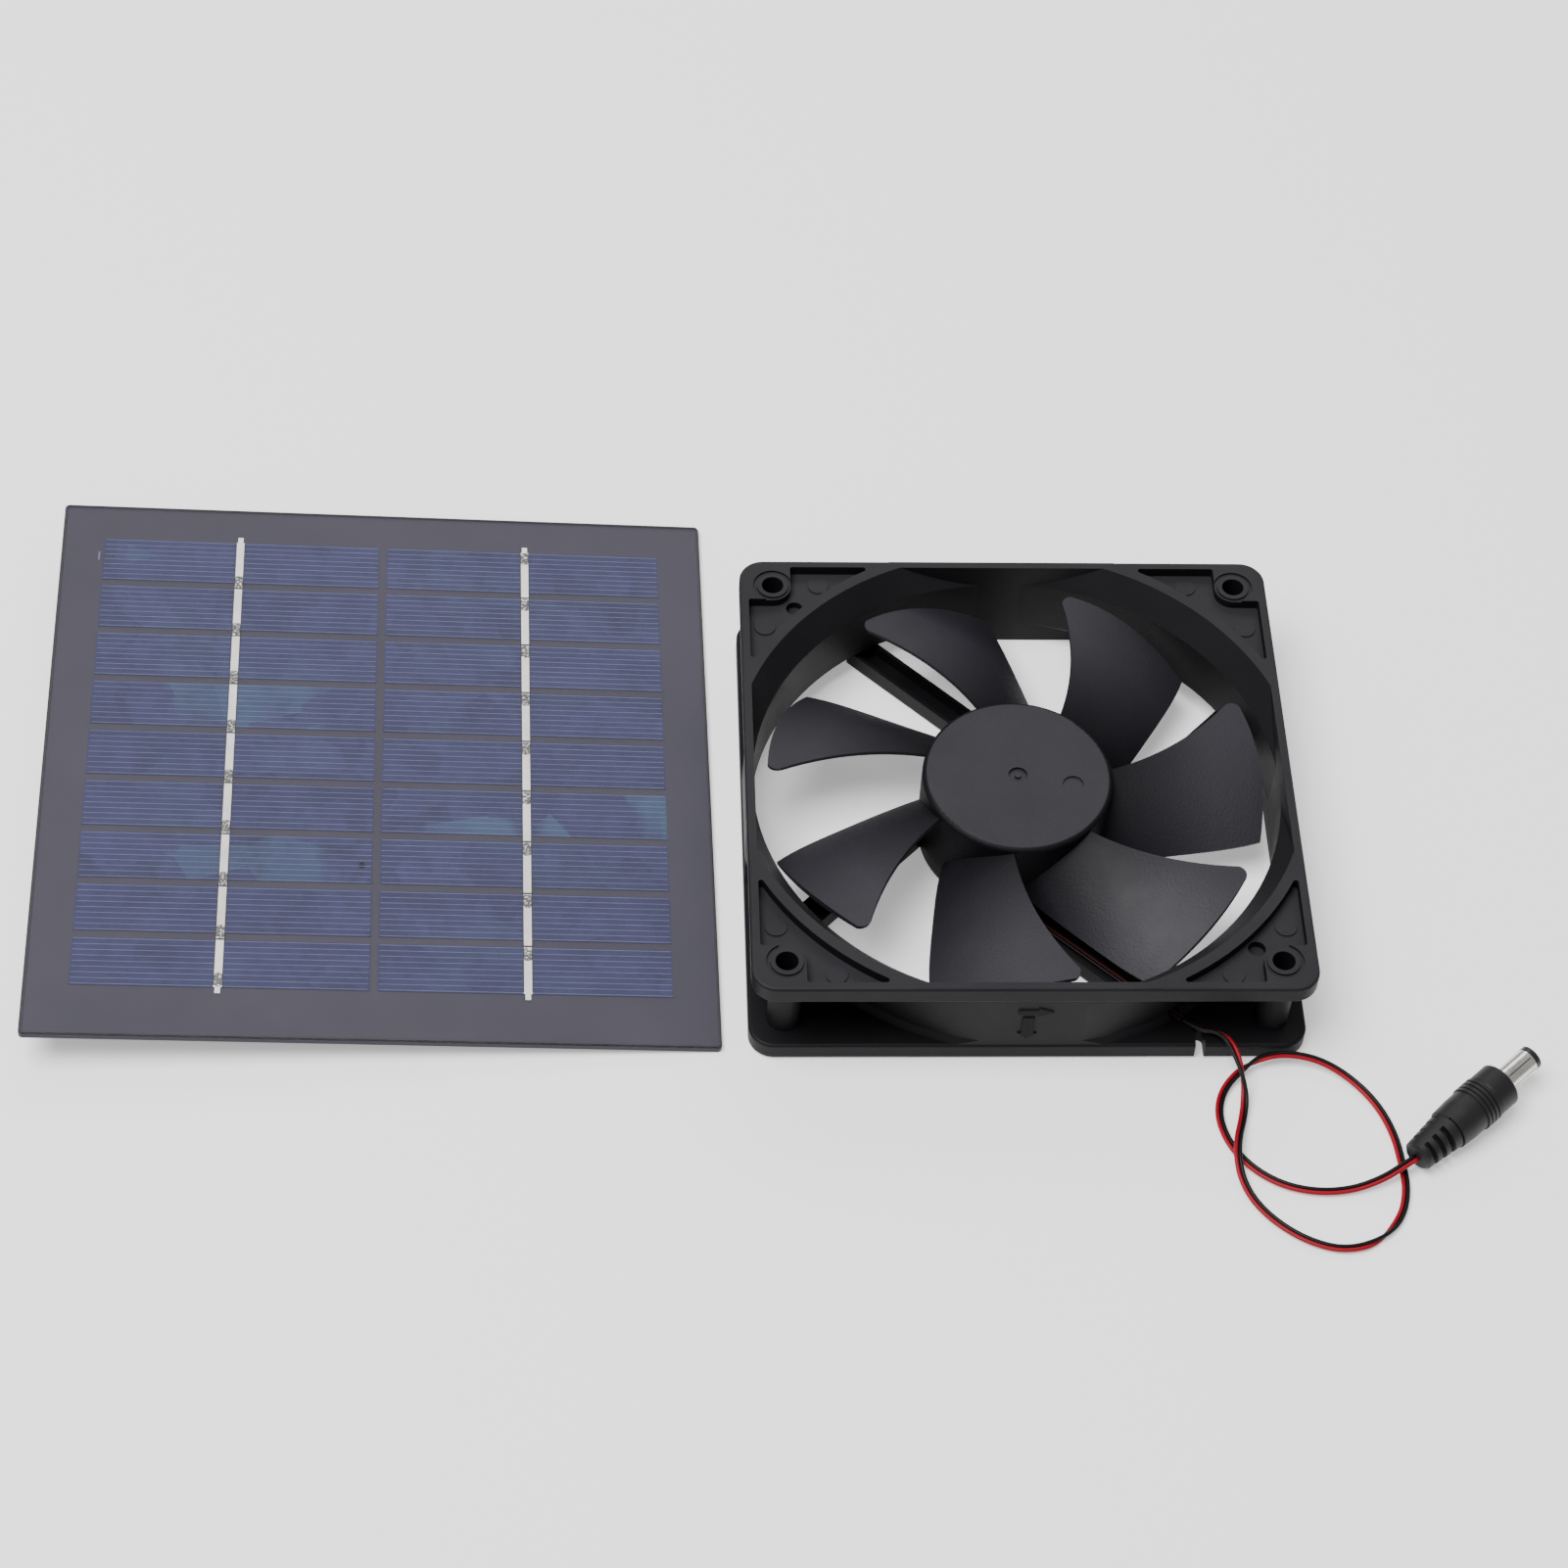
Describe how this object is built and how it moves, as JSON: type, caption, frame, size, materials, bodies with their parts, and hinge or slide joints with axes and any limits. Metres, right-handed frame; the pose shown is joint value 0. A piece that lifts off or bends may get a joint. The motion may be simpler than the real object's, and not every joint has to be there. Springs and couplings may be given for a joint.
{
  "type": "solar attic fan",
  "caption": "Square axial fan with a bladed rotor on a sleeve-bearing motor, a twin lead with a barrel plug, and a separate flat solar panel with a socket box on its back.",
  "frame": {"origin": "on the rotor's axis, at the centre of the four screw holes in the exhaust face, which is also the level that everything rests on", "axes": "+Z along the rotor's axis from the exhaust face to the intake face; -Y towards the side where the lead leaves; the panel lies on the -X side"},
  "size_m": [0.3246, 0.2009, 0.0251],
  "materials": {
    "housing": "satin moulding",
    "impeller": "fine matte sparkle",
    "bearing": "machined",
    "bronze": "sintered, oily",
    "bearing_cap": "moulded",
    "thrust": "low-friction plastic",
    "label": "plain film label",
    "lamination": "stacked sheet",
    "insulator": "moulded",
    "copper": "enamelled wire",
    "circuit": "solder mask",
    "chip": "moulded",
    "ceramic": "ceramic",
    "diode_body": "moulded",
    "pins": "tinned",
    "lead_red": "soft insulation",
    "lead_black": "soft insulation",
    "lead_pair": "soft insulation, one core red and one black",
    "yoke": "drawn steel",
    "magnet": "bonded ferrite",
    "shaft": "ground",
    "clip": "plastic washer",
    "plug_grip": "soft moulding",
    "plug_nickel": "nickel plate",
    "plug_tip": "moulded",
    "plug_contact": "plated",
    "board": "black laminate",
    "filler": "clear resin",
    "film": "clear film, satin",
    "cell": "polycrystalline silicon, blue-grey",
    "ribbon": "tinned copper",
    "box": "fine texture",
    "socket_body": "moulded",
    "socket_metal": "nickel plate",
    "diode_axial": "moulded"
  },
  "bodies": {
    "fan": {"fan_frame": "housing", "bearing_tube": "bearing", "sleeve_bearing": "bronze", "bearing_end_cap": "bearing_cap", "thrust_plate": "thrust", "base_label": "label", "stator_core": "lamination", "upper_insulator": "insulator", "lower_insulator": "insulator", "winding_1": "copper", "winding_2": "copper", "winding_3": "copper", "winding_4": "copper", "circuit_board": "circuit", "driver_chip": "chip", "capacitor": "ceramic", "diode": "diode_body", "winding_pins": "pins", "lead_red": "lead_red", "lead_black": "lead_black", "lead_cord": "lead_pair", "plug_body": "plug_grip", "plug_sleeve": "plug_nickel", "plug_insulator": "plug_tip", "plug_contact": "plug_contact"},
    "rotor": {"impeller": "impeller", "rotor_yoke": "yoke", "rotor_magnet": "magnet", "rotor_shaft": "shaft", "retaining_ring": "clip"},
    "panel": {"panel_board": "board", "encapsulant": "filler", "front_film": "film", "back_ribbons": "ribbon", "ribbon_left": "ribbon", "ribbon_right": "ribbon", "junction_box": "box", "junction_lid": "box", "dc_socket": "socket_body", "socket_pin": "socket_metal", "socket_spring": "socket_metal", "blocking_diode": "diode_axial", "cell_left_1": "cell", "cell_left_2": "cell", "cell_left_3": "cell", "cell_left_4": "cell", "cell_left_5": "cell", "cell_left_6": "cell", "cell_left_7": "cell", "cell_left_8": "cell", "cell_left_9": "cell", "cell_right_1": "cell", "cell_right_2": "cell", "cell_right_3": "cell", "cell_right_4": "cell", "cell_right_5": "cell", "cell_right_6": "cell", "cell_right_7": "cell", "cell_right_8": "cell", "cell_right_9": "cell"}
  },
  "joints": [
    {"name": "rotor_spin", "type": "hinge", "parent": "fan", "child": "rotor", "pos_m": [0, 0, 0], "axis": [0, 0, 1], "continuous": true},
    {"name": "panel_place", "type": "slide", "parent": "fan", "child": "panel", "axis": [-1, 0, 0], "range_m": [0, 0.2]}
  ]
}
